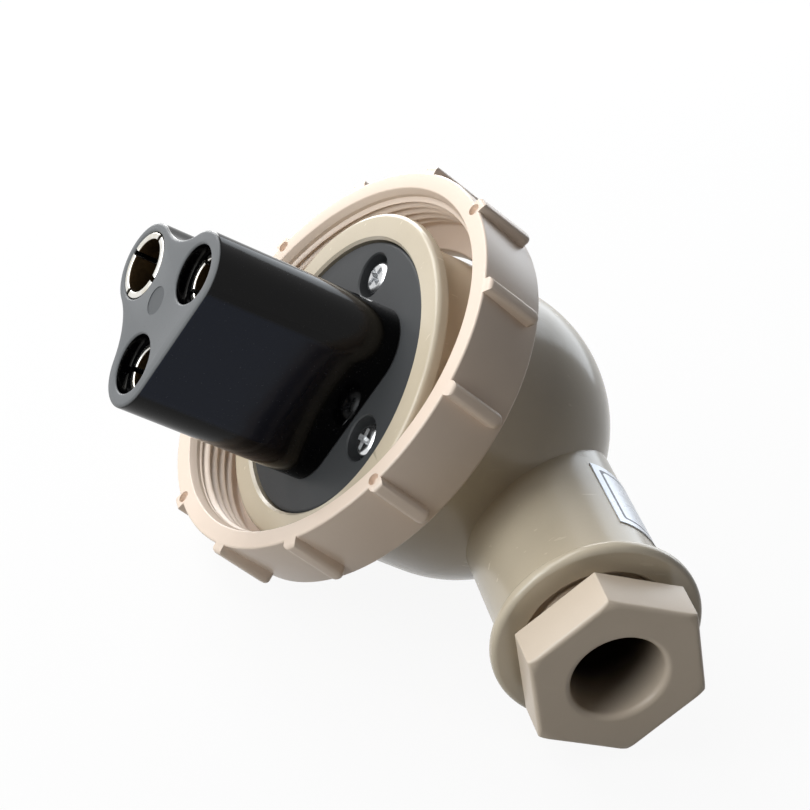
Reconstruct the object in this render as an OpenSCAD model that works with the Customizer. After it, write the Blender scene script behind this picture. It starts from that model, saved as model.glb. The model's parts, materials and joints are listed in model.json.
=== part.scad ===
// Elbow plug for ships' supply, with a three-hole contact insert and a loose coupling ring.
// The insert's axis is X, towards its tip. The neck leaves along Y. The origin is the middle
// of the collar's front face. At the end the plug is laid down as it rests on a table, with +Z up.

/* [Bulb and collar] */
// Outside radius of the round body
bulb_r = 22.6; // [20:0.1:28]
// Distance from the collar's front face back to the middle of the round body
bulb_back = 22.8; // [20:0.1:30]
// Wall of the round body
bulb_wall = 3.2; // [2:0.1:4]
// How far the collar's rim stands out from the round body
rim_height = 2.4; // [2:0.1:3.5]
// Thickness of the collar's rim, from front to back
rim_t = 2; // [1.5:0.1:2.6]
// Rounding of the rim's front edge
rim_round = 0.8; // [0.3:0.1:1.2]
// Width of the flat front face, from the rim to the insert's seat
face_w = 4.1; // [3:0.1:5]
// Bevel at the mouth of the insert's seat
seat_bevel = 0.4; // [0.2:0.1:0.8]

/* [Neck] */
// Distance from the collar's front face back to the neck's axis
neck_back = 32.4; // [30:0.1:36]
// Outside radius of the neck where it leaves the round body
neck_root_r = 12.2; // [11.5:0.1:14]
// How much the neck's radius grows on the way to its flange
neck_flare = 0.4; // [0:0.1:1]
// Distance from the insert's axis to the neck's end face
neck_reach = 44.5; // [42:0.5:60]
// Wall of the neck
neck_wall = 2.6; // [2:0.1:3]
// How far the flange stands out from the neck
flange_height = 2.6; // [1:0.1:4]
// Thickness of the flange
flange_t = 2.2; // [1.5:0.1:4]
// Depth of the gland's chamber, from the neck's end face
chamber_depth = 18.5; // [17:0.5:21]
// Width of the ledge that the gland's packing bears on
packing_ledge_w = 2.6; // [1.5:0.1:3]
// Thickness of that ledge
packing_ledge_t = 2.5; // [2:0.1:4]

/* [Insert] */
// Distance from the collar's front face to the insert's tip
insert_reach = 30; // [26:0.5:40]
// Depth of the insert's disc below the collar's front face
disc_recess = 0.6; // [0.3:0.1:2]
// Thickness of the disc
disc_t = 5.2; // [4.5:0.1:8]
// Bevel of the disc's front edge
disc_bevel = 0.5; // [0.2:0.1:1]
// Radius of the circle through the three contacts
contact_circle_r = 9.3; // [8.8:0.1:10]
// Radius of each rounded lobe of the barrel
lobe_r = 6.5; // [6.2:0.1:6.9]
// How far the two hollows between the lobes stay outside the line joining the contacts
hollow_out = 4.5; // [3.5:0.1:5.5]
// Bevel at the mouth of each hole in the tip
mouth_bevel = 0.4; // [0.2:0.1:0.5]
// Radius of the shallow moulding mark in the middle of the tip
mark_r = 2.1; // [0.8:0.1:2.5]
// Depth of that mark
mark_depth = 0.15; // [0.1:0.05:0.3]
// Thickness of the plate behind the disc that keeps the contacts in
plate_t = 2; // [1.5:0.1:3]
// Gap between that plate and the wall round it
plate_gap = 0.6; // [0.3:0.1:1]
// Thickness of the gasket under the disc's edge
gasket_t = 0.8; // [0.5:0.1:1.2]

/* [Contacts] */
// Radius of the earth pin that the earth contact takes
earth_pin_r = 4; // [3.5:0.1:4.2]
// Radius of the line pins that the other two contacts take
line_pin_r = 3; // [2.5:0.1:3.2]
// Wall of a contact's tube
tube_wall = 1; // [0.8:0.05:1.1]
// Depth of the line contacts below the tip
line_recess = 2.2; // [1:0.1:6]
// Extra radius of the hole in front of a line contact
recess_step = 0.3; // [0.2:0.05:0.5]
// Depth of a contact's pin hole
pin_depth = 21; // [16:0.5:22]
// Bevel of a contact's front edge, inside and outside
lip_bevel = 0.25; // [0.1:0.05:0.35]
// Width of the slots that make a contact springy
slot_w = 0.8; // [0.5:0.1:1]
// Length of those slots
slot_len = 12; // [9:0.5:14]
// Turn of the slots from the direction out of the insert's middle
slot_turn = 8; // [0:1:89]
// Number of slots round a contact
slot_count = 4; // [2:2:6]
// Distance from a contact's front end to its spring ring
spring_back = 4; // [3:0.5:6]
// Width of the spring ring
spring_w = 1.8; // [1:0.1:2.5]
// Thickness of the spring ring
spring_t = 0.4; // [0.3:0.05:0.5]
// Opening of the spring ring
spring_gap = 1.6; // [1:0.1:2.5]
// Width of the shoulder that keeps a contact in the disc
shoulder_w = 0.8; // [0.6:0.1:1]
// Thickness of that shoulder
shoulder_t = 2; // [1.5:0.1:2.5]
// Radius of a contact's rear post
post_r = 3.6; // [3.2:0.1:3.9]
// Length of the rear post behind the plate
post_len = 9.5; // [8:0.5:11]
// Radius of the hole for the wire
wire_r = 2; // [1.5:0.1:2.2]
// Depth of the hole for the wire
wire_depth = 8; // [7:0.5:9]
// Radius of a terminal screw
terminal_screw_r = 1.5; // [1:0.1:1.8]
// Length of a terminal screw under its head
terminal_screw_len = 2.4; // [2:0.1:3]
// Height of a terminal screw's head
terminal_head_h = 1.6; // [1:0.1:2]
// Radius of a terminal screw's head
terminal_head_r = 2.4; // [2:0.1:2.8]

/* [Screws] */
// Distance from the round body's inner wall in to the axis of each screw that holds the insert
screw_inset = 3.9; // [3.4:0.1:4.2]
// Radius of a screw's thread
screw_r = 1.5; // [1.2:0.1:1.7]
// Length of a screw under its head
screw_len = 12; // [10:0.5:13]
// Radius of a screw's head
screw_head_r = 2.7; // [2.4:0.1:2.8]
// Height of a screw's head
screw_head_h = 1.8; // [1.2:0.1:2]
// Depth of the hole that a head sits in
head_hole_depth = 2.3; // [2.1:0.1:2.8]
// Radius of the screw boss in the round body
boss_r = 4.1; // [3.7:0.1:4.3]
// Length of the screw boss
boss_len = 9; // [8:0.5:11]
// Wall of the brass bush in the boss
bush_wall = 1; // [0.8:0.1:1.3]
// Length of the brass bush
bush_len = 6.5; // [5:0.5:7.5]
// Rounding of a screw's head
head_round = 1.4; // [0.5:0.1:1.5]
// Length of each arm pair of the cross recess
cross_len = 3.2; // [2:0.1:3.6]
// Width of the cross recess
cross_w = 0.8; // [0.5:0.1:1]
// Depth of the cross recess
cross_depth = 0.9; // [0.5:0.1:1]

/* [Coupling ring] */
// Length of the ring, from front to back
ring_len = 11.7; // [11:0.1:14]
// Gap between the ring's thread and the collar's rim, when both are in line
ring_gap = 2.1; // [1.9:0.1:3]
// Height of the ring's thread
thread_h = 0.7; // [0.4:0.1:0.9]
// Length of the plain stretch in front of the thread
entry_len = 2; // [1:0.1:2.4]
// Length of the thread
thread_len = 5; // [4:0.1:5.4]
// Wall of the ring outside its thread
ring_wall = 3.2; // [2.5:0.1:4]
// Bevel at the ring's mouth
ring_bevel = 0.4; // [0.2:0.1:0.8]
// How much the ring's outside narrows towards the back
ring_draft = 0.5; // [0:0.1:1]
// Thickness of the lip that catches behind the collar's rim
lip_t = 2.2; // [1.8:0.1:2.6]
// Gap between that lip and the round body, when both are in line
lip_gap = 1.1; // [0.9:0.1:1.3]
// Number of grip ribs
rib_count = 12; // [6:1:18]
// Width of a grip rib
rib_w = 3; // [2:0.1:4]
// Height of a grip rib
rib_h = 1.3; // [0.5:0.1:2]
// How far a rib stops short of the ring's back
rib_stop = 1.5; // [1:0.1:3]
// Number of round pits in the ring's front
pit_count = 4; // [2:1:6]
// Radius of a pit
pit_r = 0.9; // [0.5:0.1:1.2]
// Depth of a pit
pit_depth = 1; // [0.5:0.1:1.5]
// Distance from the ring's outside in to a pit's middle
pit_inset = 0.6; // [0:0.1:1.8]
// Angle at which the loose ring hangs on the collar
ring_tilt = 11; // [4:0.5:11]
// Angle by which the loose ring is swung towards the neck's far side
ring_swing = 1.4; // [0:0.2:2]
// How far the ring has slipped towards the neck's far side
ring_slip = 0.6; // [0:0.1:0.7]
// Gap between the lip and the back of the rim, where the ring hangs
hook_gap = 0.6; // [0.5:0.1:1]

/* [Gland] */
// Width across the flats of the gland nut
nut_flats = 24; // [22:0.5:27]
// Height of the gland nut's hexagon
nut_h = 6.8; // [5:0.1:10]
// Radius of the hole for the cable
cable_r = 6.65; // [5:0.05:7.2]
// Gap between the gland nut and the neck's end
nut_gap = 2.3; // [0.6:0.1:3]
// Length of the nut's thread in the neck
nut_thread_len = 8; // [6:0.5:9.5]
// Turn of the hexagon about the neck's axis
nut_turn = 12.5; // [0:0.5:59]
// Radius at which the hexagon's front corners are cut back
nut_corner_r = 12.9; // [12.2:0.1:14]
// Rounding of the hole's edge
nut_round = 1; // [0.3:0.1:1.5]
// Thickness of the two gland washers
washer_t = 1.2; // [0.8:0.1:1.5]
// Extra radius of the rubber packing's hole over the cable's
packing_ease = 0.1; // [0:0.05:0.4]

/* [Label] */
// Length of the bare label along the neck
label_len = 14; // [8:0.5:14]
// Angle round the neck that the label covers
label_arc = 88; // [40:2:120]
// Angle at which the label begins, from the insert's side
label_start = 84; // [60:1:100]
// Distance from the label to the flange
label_gap = 8; // [6:0.5:9]
// Thickness of the label
label_t = 0.15; // [0.1:0.05:0.3]

/* [Resting] */
// Angle by which the insert's tip is raised when the plug lies on a table
nose_lift = 19.5; // [0:0.5:30]
// Angle by which the neck's end drops when the plug lies on a table
neck_drop = 5.6; // [0:0.1:15]

/* [Hidden] */
$fn = 96;

// The three poles, with the angle of each about the insert's axis
POLES = ["earth", "line", "neutral"];
pole_step = 120;
POLE_ANGLES = [180, pole_step / 2, -pole_step / 2];
SCREW_ANGLES = [0, 120, 240];
pin_rs = [earth_pin_r, line_pin_r, line_pin_r];
recesses = [0, line_recess, line_recess];

// Clearances
cut = 1;
slide_gap = 0.1;
running_gap = 0.08;
disc_gap = 0.2;
hole_gap = 0.2;
thread_gap = 0.05;
head_gap = 0.7;
rest_gap = 0.3;
foil_gap = 0.02;
// Share of the lip's gap that is left under the round body, where the ring hangs
lip_side_share = 0.4;

// Colours
khaki = [0.66, 0.61, 0.49];
ring_beige = [0.78, 0.68, 0.58];
nut_beige = [0.72, 0.64, 0.52];
glossy_black = [0.05, 0.05, 0.06];
silver = [0.80, 0.80, 0.78];
brass = [0.74, 0.60, 0.33];
steel = [0.70, 0.71, 0.72];
rubber = [0.10, 0.10, 0.10];
foil = [0.80, 0.82, 0.86];

// Housing
rim_r = bulb_r + rim_height;
seat_r = rim_r - face_w;
cavity_r = bulb_r - bulb_wall;
screw_circle_r = cavity_r - screw_inset;
disc_back = disc_recess + disc_t;
ledge_back = disc_back + gasket_t;
plate_back = disc_back + plate_t;
neck_end_r = neck_root_r + neck_flare;
flange_r = neck_end_r + flange_height;
neck_inside_r = neck_root_r - neck_wall;
passage_r = neck_inside_r - packing_ledge_w;
chamber_end = neck_reach - chamber_depth;

// Ring
thread_r = rim_r + ring_gap;
mouth_r = thread_r + thread_h;
ring_r = mouth_r + ring_wall;
ring_lip_r = bulb_r + lip_gap;
lip_front = ring_len - lip_t;
rib_len = ring_len - rib_stop;
lip_side_gap = lip_gap * lip_side_share;

// Gland
nut_shank_r = neck_inside_r - running_gap;
nut_front = neck_reach + nut_gap + nut_h;
nut_nose = neck_reach - nut_thread_len;
washer_r = neck_inside_r - slide_gap;
washer_front = nut_nose - slide_gap;
packing_len = washer_front - washer_t - rest_gap - chamber_end - washer_t;
nut_r = nut_flats / 2 / cos(30);
nut_corner_slope = 30;
head_turn = 75;

// Basic shapes and places
function polar(r, a) = [r * cos(a), r * sin(a)];
function arc(mid, r, from, to, steps = 8) =
    [for (i = [0 : steps]) mid + polar(r, from + (to - from) * i / steps)];

module along_x() rotate([0, 90, 0]) children();
module along_neck() translate([-neck_back, 0, 0]) rotate([-90, 0, 0]) children();

// A place on the insert at a radius and an angle from the neck's direction.
// There Z runs towards the tip and Y runs outwards.
module on_insert(r, a, x) rotate([a, 0, 0]) translate([x, r, 0]) along_x() children();

// A solid turned about the X axis, from points of radius and place along X
module turned_x(points) along_x() rotate_extrude() polygon(points);

// The plug laid down as it rests
module lie() rotate([-neck_drop, 0, 0]) rotate([0, -nose_lift, 0]) children();

// The ring's front middle: its lip hooks behind the rim at the bottom of the round body
ring_x = -rim_t - hook_gap + lip_front * cos(ring_tilt) - ring_lip_r * sin(ring_tilt);
ring_z = -bulb_r - lip_side_gap + lip_front * sin(ring_tilt) + ring_lip_r * cos(ring_tilt);
module ring_place() {
    translate([ring_x, -ring_slip, ring_z]) rotate([0, 0, -ring_swing]) rotate([0, -ring_tilt, 0])
        children();
}

// Housing, one moulding: collar, round body, neck and flange
module housing() color(khaki) {
    difference() {
        union() {
            collar();
            neck();
        }
        seat();
        neck_inside();
    }
    screw_bosses();
}

module collar() {
    along_x() rotate_extrude() dome(bulb_r, -rim_t);
    turned_x(concat(
        [[0, -rim_t], [rim_r, -rim_t]],
        arc([rim_r - rim_round, -rim_round], rim_round, 0, 90),
        [[0, 0]]));
}

// Half outline of a straight wall that ends in a half ball at the back
module dome(r, front) {
    translate([0, -bulb_back]) square([r, bulb_back + front]);
    intersection() {
        translate([0, -bulb_back]) circle(r);
        translate([0, -bulb_back - r]) square(r);
    }
}

module neck() along_neck() {
    cylinder(h = neck_reach - flange_t / 2, r1 = neck_root_r, r2 = neck_end_r);
    translate([0, 0, neck_reach - flange_t])
        rotate_extrude() flange_outline();
}

module flange_outline() {
    half = flange_t / 2;
    square([flange_r - half, flange_t]);
    translate([flange_r - half, half]) circle(half);
}

module seat() {
    translate([-ledge_back, 0, 0]) along_x() cylinder(h = ledge_back + cut, r = seat_r);
    translate([-seat_bevel, 0, 0]) along_x()
        cylinder(h = seat_bevel + cut, r1 = seat_r, r2 = seat_r + seat_bevel + cut);
    along_x() rotate_extrude() dome(cavity_r, -disc_back);
}

module neck_inside() along_neck() {
    cylinder(h = chamber_end - packing_ledge_t, r = neck_inside_r);
    cylinder(h = neck_reach, r = passage_r);
    translate([0, 0, chamber_end]) cylinder(h = chamber_depth + cut, r = neck_inside_r);
}

module screw_bosses() difference() {
    intersection() {
        for (a = SCREW_ANGLES) rotate([a, 0, 0]) translate([-plate_back - boss_len, 0, 0]) {
            translate([0, screw_circle_r, 0]) along_x() cylinder(h = boss_len, r = boss_r);
            translate([0, screw_circle_r, -boss_r]) cube([boss_len, bulb_r, 2 * boss_r]);
        }
        translate([-bulb_back, 0, 0]) along_x() cylinder(h = bulb_back, r = bulb_r - bulb_wall / 2);
    }
    for (a = SCREW_ANGLES)
        on_insert(screw_circle_r, a, -plate_back - bush_len) cylinder(h = bush_len + cut, r = bush_r());
    for (a = SCREW_ANGLES)
        on_insert(screw_circle_r, a, -plate_back - boss_len + cut)
            cylinder(h = boss_len, r = screw_r + hole_gap);
}

function bush_r() = screw_r + thread_gap + bush_wall;

// Brass bush that a screw bites in
module threaded_bush(i) color(brass)
    on_insert(screw_circle_r, SCREW_ANGLES[i], -plate_back - bush_len) difference() {
        cylinder(h = bush_len, r = bush_r());
        translate([0, 0, -cut]) cylinder(h = bush_len + 2 * cut, r = screw_r + thread_gap);
    }

// Insert: disc and three-lobed barrel in one moulding
module insulator() color(glossy_black) difference() {
    union() {
        insulator_disc();
        translate([-disc_back, 0, 0]) along_x() rotate([0, 0, 90])
            linear_extrude(insert_reach + disc_back) barrel_outline();
    }
    for (i = [0 : 2]) contact_hole(i);
    for (a = SCREW_ANGLES) {
        on_insert(screw_circle_r, a, -disc_back - cut)
            cylinder(h = disc_t + 2 * cut, r = screw_r + hole_gap);
        on_insert(screw_circle_r, a, -disc_recess - head_hole_depth)
            cylinder(h = head_hole_depth + cut, r = screw_head_r + head_gap);
    }
    translate([insert_reach - mark_depth, 0, 0]) along_x() cylinder(h = mark_depth + cut, r = mark_r);
}

module insulator_disc() {
    disc_r = seat_r - disc_gap;
    turned_x([[0, -disc_back], [disc_r, -disc_back], [disc_r, -disc_recess - disc_bevel],
        [disc_r - disc_bevel, -disc_recess], [0, -disc_recess]]);
}

// The barrel's outline, seen with the neck's direction to the right
module barrel_outline() {
    spots = [for (a = POLE_ANGLES) polar(contact_circle_r, a)];
    for (p = spots) translate(p) circle(lobe_r);
    polygon(spots);
    polygon([spots[1], spots[2], spots[2] + [lobe_r, 0], spots[1] + [lobe_r, 0]]);
    barrel_hollow(spots[0], spots[1], pole_step);
    barrel_hollow(spots[2], spots[0], -pole_step);
}

// The fill between two lobes, with a hollow that runs smoothly into both
module barrel_hollow(p, q, a) {
    half = contact_circle_r * sin(pole_step / 2);
    hollow_r = (half * half + hollow_out * hollow_out - lobe_r * lobe_r) / (2 * (lobe_r - hollow_out));
    mid = polar(contact_circle_r * cos(pole_step / 2) + hollow_out + hollow_r, a);
    difference() {
        polygon([p, mid, q]);
        translate(mid) circle(hollow_r);
    }
}

function tube_r(i) = pin_rs[i] + tube_wall;
function contact_front(i) = insert_reach - recesses[i];
function shoulder_r(i) = tube_r(i) + shoulder_w;

// The stepped hole in the insert that one contact sits in
module contact_hole(i) on_insert(contact_circle_r, POLE_ANGLES[i], 0) {
    hole_r = tube_r(i) + slide_gap;
    mouth_hole_r = recesses[i] > 0 ? hole_r + recess_step : hole_r;
    translate([0, 0, -disc_back - cut]) cylinder(h = insert_reach + disc_back + 2 * cut, r = hole_r);
    translate([0, 0, -disc_back - cut]) cylinder(h = shoulder_t + cut, r = shoulder_r(i) + slide_gap);
    translate([0, 0, contact_front(i)]) cylinder(h = recesses[i] + cut, r = mouth_hole_r);
    translate([0, 0, insert_reach - mouth_bevel])
        cylinder(h = mouth_bevel + cut, r1 = mouth_hole_r, r2 = mouth_hole_r + mouth_bevel + cut);
}

// Turned contact: slotted tube, shoulder and rear post
module contact(i) color(silver) on_insert(contact_circle_r, POLE_ANGLES[i], 0) difference() {
    front = contact_front(i);
    back = -plate_back - post_len;
    rotate_extrude() polygon([[0, back], [post_r, back], [post_r, -disc_back],
        [shoulder_r(i), -disc_back], [shoulder_r(i), -disc_back + shoulder_t],
        [tube_r(i), -disc_back + shoulder_t], [tube_r(i), front - lip_bevel],
        [tube_r(i) - lip_bevel, front], [0, front]]);
    translate([0, 0, front - pin_depth]) cylinder(h = pin_depth + cut, r = pin_rs[i]);
    translate([0, 0, front - lip_bevel])
        cylinder(h = lip_bevel + cut, r1 = pin_rs[i], r2 = pin_rs[i] + lip_bevel + cut);
    translate([0, 0, back - cut]) cylinder(h = wire_depth + cut, r = wire_r);
    spring_band(i, front, cut);
    for (k = [0 : slot_count - 1]) rotate([0, 0, slot_turn + k * 360 / slot_count])
        translate([-slot_w / 2, 0, front - slot_len]) cube([slot_w, tube_r(i) + cut, slot_len + cut]);
    terminal_place() cylinder(h = post_r + cut, r = terminal_screw_r + thread_gap);
}

// The band round a contact's tube that its spring ring fills
module spring_band(i, front, over) translate([0, 0, front - spring_back - spring_w]) difference() {
    cylinder(h = spring_w, r = tube_r(i) + over);
    translate([0, 0, -cut]) cylinder(h = spring_w + 2 * cut, r = tube_r(i) - spring_t);
}

module spring_ring(i) color(steel) on_insert(contact_circle_r, POLE_ANGLES[i], 0) difference() {
    spring_band(i, contact_front(i), 0);
    translate([-spring_gap / 2, 0, contact_front(i) - spring_back - spring_w - cut])
        cube([spring_gap, tube_r(i) + cut, spring_w + 2 * cut]);
}

// Middle of the rear post, with Z running outwards from the insert's axis
module terminal_place() translate([0, 0, -plate_back - post_len / 2]) rotate([-90, 0, 0]) children();

module terminal_screw(i) color(steel) on_insert(contact_circle_r, POLE_ANGLES[i], 0) terminal_place()
    translate([0, 0, post_r + hole_gap]) difference() {
        union() {
            translate([0, 0, -terminal_screw_len]) cylinder(h = terminal_screw_len, r = terminal_screw_r);
            cylinder(h = terminal_head_h, r = terminal_head_r);
        }
        translate([-terminal_head_r - cut, -slot_w / 2, terminal_head_h / 2])
            cube([2 * (terminal_head_r + cut), slot_w, terminal_head_h]);
    }

// Plate behind the disc: it keeps the contacts' shoulders in their holes
module contact_plate() color(glossy_black) difference() {
    translate([-plate_back, 0, 0]) along_x() cylinder(h = plate_t, r = cavity_r - plate_gap);
    for (a = POLE_ANGLES) on_insert(contact_circle_r, a, -plate_back - cut)
        cylinder(h = plate_t + 2 * cut, r = post_r + hole_gap);
    for (a = SCREW_ANGLES) on_insert(screw_circle_r, a, -plate_back - cut)
        cylinder(h = plate_t + 2 * cut, r = screw_r + hole_gap);
}

module insert_gasket() color(rubber) translate([-ledge_back, 0, 0]) along_x() difference() {
    cylinder(h = gasket_t, r = seat_r - disc_gap);
    translate([0, 0, -cut]) cylinder(h = gasket_t + 2 * cut, r = cavity_r);
}

// Round-headed screw with a cross recess
module insert_screw(i) color(steel)
    on_insert(screw_circle_r, SCREW_ANGLES[i], -disc_recess - head_hole_depth) difference() {
        union() {
            translate([0, 0, -screw_len]) cylinder(h = screw_len, r = screw_r);
            rotate_extrude() polygon(concat([[0, 0], [screw_head_r, 0]],
                arc([screw_head_r - head_round, screw_head_h - head_round], head_round, 0, head_turn),
                [[0, screw_head_h]]));
        }
        for (a = [0, 90]) rotate([0, 0, a])
            translate([-cross_len / 2, -cross_w / 2, screw_head_h - cross_depth])
                cube([cross_len, cross_w, cross_depth + cut]);
    }

// Coupling ring, drawn with its front middle at the origin and its axis along X
module coupling_ring() color(ring_beige) ring_place() difference() {
    union() {
        turned_x([
            [mouth_r + ring_bevel, 0], [ring_r - ring_bevel, 0], [ring_r, -ring_bevel],
            [ring_r - ring_draft, -ring_len + ring_bevel],
            [ring_r - ring_draft - ring_bevel, -ring_len],
            [ring_lip_r, -ring_len], [ring_lip_r, -lip_front], [mouth_r, -lip_front],
            [mouth_r, -entry_len - thread_len], [thread_r, -entry_len - thread_len],
            [thread_r, -entry_len], [mouth_r, -entry_len], [mouth_r, -ring_bevel]]);
        for (k = [0 : rib_count - 1]) rotate([90 + k * 360 / rib_count, 0, 0]) grip_rib();
    }
    for (k = [0 : pit_count - 1]) rotate([90 + k * 360 / pit_count, 0, 0])
        translate([-pit_depth, ring_r - pit_inset, 0]) along_x() cylinder(h = pit_depth + cut, r = pit_r);
}

// One grip rib, standing out along Y, with a round rear end
module grip_rib() {
    root = ring_r - ring_draft - ring_bevel;
    height = ring_r + rib_h - root;
    translate([-rib_len + rib_w / 2, root, -rib_w / 2]) cube([rib_len - rib_w / 2, height, rib_w]);
    translate([-rib_len + rib_w / 2, root, 0]) rotate([-90, 0, 0]) cylinder(h = height, r = rib_w / 2);
}

// Gland nut: hexagon, threaded shank and the hole for the cable
module gland_nut() color(nut_beige) along_neck() difference() {
    union() {
        translate([0, 0, nut_nose]) cylinder(h = nut_front - nut_nose - cut, r = nut_shank_r);
        intersection() {
            translate([0, 0, nut_front - nut_h]) rotate([0, 0, nut_turn])
                cylinder(h = nut_h, r = nut_r, $fn = 6);
            rotate_extrude() polygon([[0, 0], [nut_r + cut, 0],
                [nut_r + cut, nut_front - (nut_r + cut - nut_corner_r) * tan(nut_corner_slope)],
                [nut_corner_r, nut_front], [0, nut_front]]);
        }
    }
    cylinder(h = nut_front + cut, r = cable_r);
    rotate_extrude() translate([cable_r, nut_front - nut_round]) difference() {
        translate([-cut, 0]) square([nut_round + cut, nut_round + cut]);
        translate([nut_round, 0]) circle(nut_round);
    }
}

module ring_washer(y) along_neck() translate([0, 0, y]) difference() {
    cylinder(h = washer_t, r = washer_r);
    translate([0, 0, -cut]) cylinder(h = washer_t + 2 * cut, r = cable_r + hole_gap);
}

module gland_washer() color(brass) ring_washer(washer_front - washer_t);
module packing_seat() color(brass) ring_washer(chamber_end);

// Rubber packing that closes on the cable
module cable_packing() color(rubber) along_neck() translate([0, 0, chamber_end + washer_t]) difference() {
    cylinder(h = packing_len, r = washer_r);
    translate([0, 0, -cut]) cylinder(h = packing_len + 2 * cut, r = cable_r + packing_ease);
}

// Bare foil label on the neck
module neck_label() color(foil) along_neck() {
    label_end = neck_reach - flange_t - label_gap;
    rotate([0, 0, -label_start - label_arc]) rotate_extrude(angle = label_arc) polygon([
        [neck_r_at(label_end - label_len) + foil_gap, label_end - label_len],
        [neck_r_at(label_end) + foil_gap, label_end],
        [neck_r_at(label_end) + foil_gap + label_t, label_end],
        [neck_r_at(label_end - label_len) + foil_gap + label_t, label_end - label_len]]);
}

function neck_r_at(y) = neck_root_r + neck_flare * y / (neck_reach - flange_t / 2);

lie() housing();
lie() insulator();
lie() contact_plate();
lie() insert_gasket();
for (i = [0 : 2]) {
    lie() contact(i);
    lie() spring_ring(i);
    lie() terminal_screw(i);
    lie() insert_screw(i);
    lie() threaded_bush(i);
}
lie() coupling_ring();
lie() gland_nut();
lie() gland_washer();
lie() cable_packing();
lie() packing_seat();
lie() neck_label();
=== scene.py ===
"""The elbow plug's surfaces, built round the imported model. Sizes are in millimetres, and each
piece is drawn about its own axis and then set in its place in metres."""
import cmath
import json
import math

import bmesh
import bpy
from mathutils import Matrix, Vector

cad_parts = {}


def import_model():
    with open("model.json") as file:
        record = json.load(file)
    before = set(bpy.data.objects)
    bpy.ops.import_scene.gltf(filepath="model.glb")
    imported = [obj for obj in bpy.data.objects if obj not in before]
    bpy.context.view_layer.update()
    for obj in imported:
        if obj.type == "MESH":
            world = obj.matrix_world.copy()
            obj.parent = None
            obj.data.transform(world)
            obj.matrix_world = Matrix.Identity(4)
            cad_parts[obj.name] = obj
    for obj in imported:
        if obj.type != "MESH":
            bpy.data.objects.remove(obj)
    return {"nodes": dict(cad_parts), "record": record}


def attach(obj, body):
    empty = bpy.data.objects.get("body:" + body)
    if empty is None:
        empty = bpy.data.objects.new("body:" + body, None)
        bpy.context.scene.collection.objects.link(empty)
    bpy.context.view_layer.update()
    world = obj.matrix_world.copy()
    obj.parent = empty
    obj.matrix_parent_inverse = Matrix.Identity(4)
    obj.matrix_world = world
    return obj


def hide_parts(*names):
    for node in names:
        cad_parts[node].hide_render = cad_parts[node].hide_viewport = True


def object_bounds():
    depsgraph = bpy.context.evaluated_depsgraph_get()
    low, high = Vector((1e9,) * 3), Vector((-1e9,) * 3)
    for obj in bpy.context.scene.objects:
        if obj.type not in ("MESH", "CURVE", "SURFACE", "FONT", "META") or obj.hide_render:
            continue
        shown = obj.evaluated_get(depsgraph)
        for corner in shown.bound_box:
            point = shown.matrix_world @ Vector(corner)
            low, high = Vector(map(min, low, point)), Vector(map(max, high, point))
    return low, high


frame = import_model()
cad_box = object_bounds()

MM = 0.001
ROUND_STEPS, RING_STEPS, TUBE_STEPS, HOLE_STEPS, SMALL_STEPS = 192, 256, 128, 96, 64
BALL_STEPS, EDGE_STEPS = 48, 5
SHARP_ANGLE = 32
ON_AXIS, NEAR = 1e-6, 0.02

# Round body and collar
bulb_r, bulb_back, bulb_wall = 22.6, 22.8, 3.2
rim_height, rim_t, rim_round = 2.4, 2.0, 0.8
face_w, seat_bevel = 4.1, 0.4
rim_r = bulb_r + rim_height
seat_r = rim_r - face_w
cavity_r = bulb_r - bulb_wall

# Neck
neck_back, neck_root_r, neck_flare, neck_reach, neck_wall = 32.4, 12.2, 0.4, 44.5, 2.6
flange_height, flange_t, flange_round = 2.6, 2.2, 0.9
chamber_depth, packing_ledge_w, packing_ledge_t = 18.5, 2.6, 2.5
neck_end_r = neck_root_r + neck_flare
flange_r = neck_end_r + flange_height
neck_inside_r = neck_root_r - neck_wall
chamber_end = neck_reach - chamber_depth

# Insert
insert_reach, disc_recess, disc_t, disc_bevel = 30.0, 0.6, 5.2, 0.5
contact_circle_r, lobe_r, hollow_out, tip_round = 9.3, 6.5, 4.5, 0.55
mouth_round, mark_r, mark_depth = 0.4, 2.1, 0.1
disc_gap, slide_gap, hole_gap, head_gap, cut = 0.2, 0.1, 0.2, 0.7, 1.0
gasket_t, plate_t = 0.8, 2.0
disc_back = disc_recess + disc_t
ledge_back = disc_back + gasket_t
plate_back = disc_back + plate_t
POLES = {"earth": 180, "line": 60, "neutral": -60}
PIN_R = {"earth": 4.0, "line": 3.0, "neutral": 3.0}
RECESS = {"earth": 0.0, "line": 2.2, "neutral": 2.2}
tube_wall, recess_step, shoulder_w, shoulder_t = 1.0, 0.3, 0.8, 2.0
pin_depth, slot_w, slot_len, slot_turn, slot_count = 21.0, 0.8, 12.0, 8.0, 4
spring_back, spring_w, spring_t = 4.0, 1.8, 0.4
post_r, post_len, wire_r, wire_depth, terminal_screw_r = 3.6, 9.5, 2.0, 8.0, 1.5

# Screws
screw_count, screw_inset = 3, 3.9
screw_circle_r = cavity_r - screw_inset
screw_r, screw_len, screw_head_r, screw_head_h, head_hole_depth = 1.5, 12.0, 2.7, 1.8, 2.3
cross_len, cross_w, cross_depth = 3.2, 0.8, 0.9
boss_r, boss_len, boss_reach = 4.1, 9.0, bulb_r - bulb_wall / 2
bush_r, bush_len, bush_fit = 2.55, 6.5, 0.02

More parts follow.
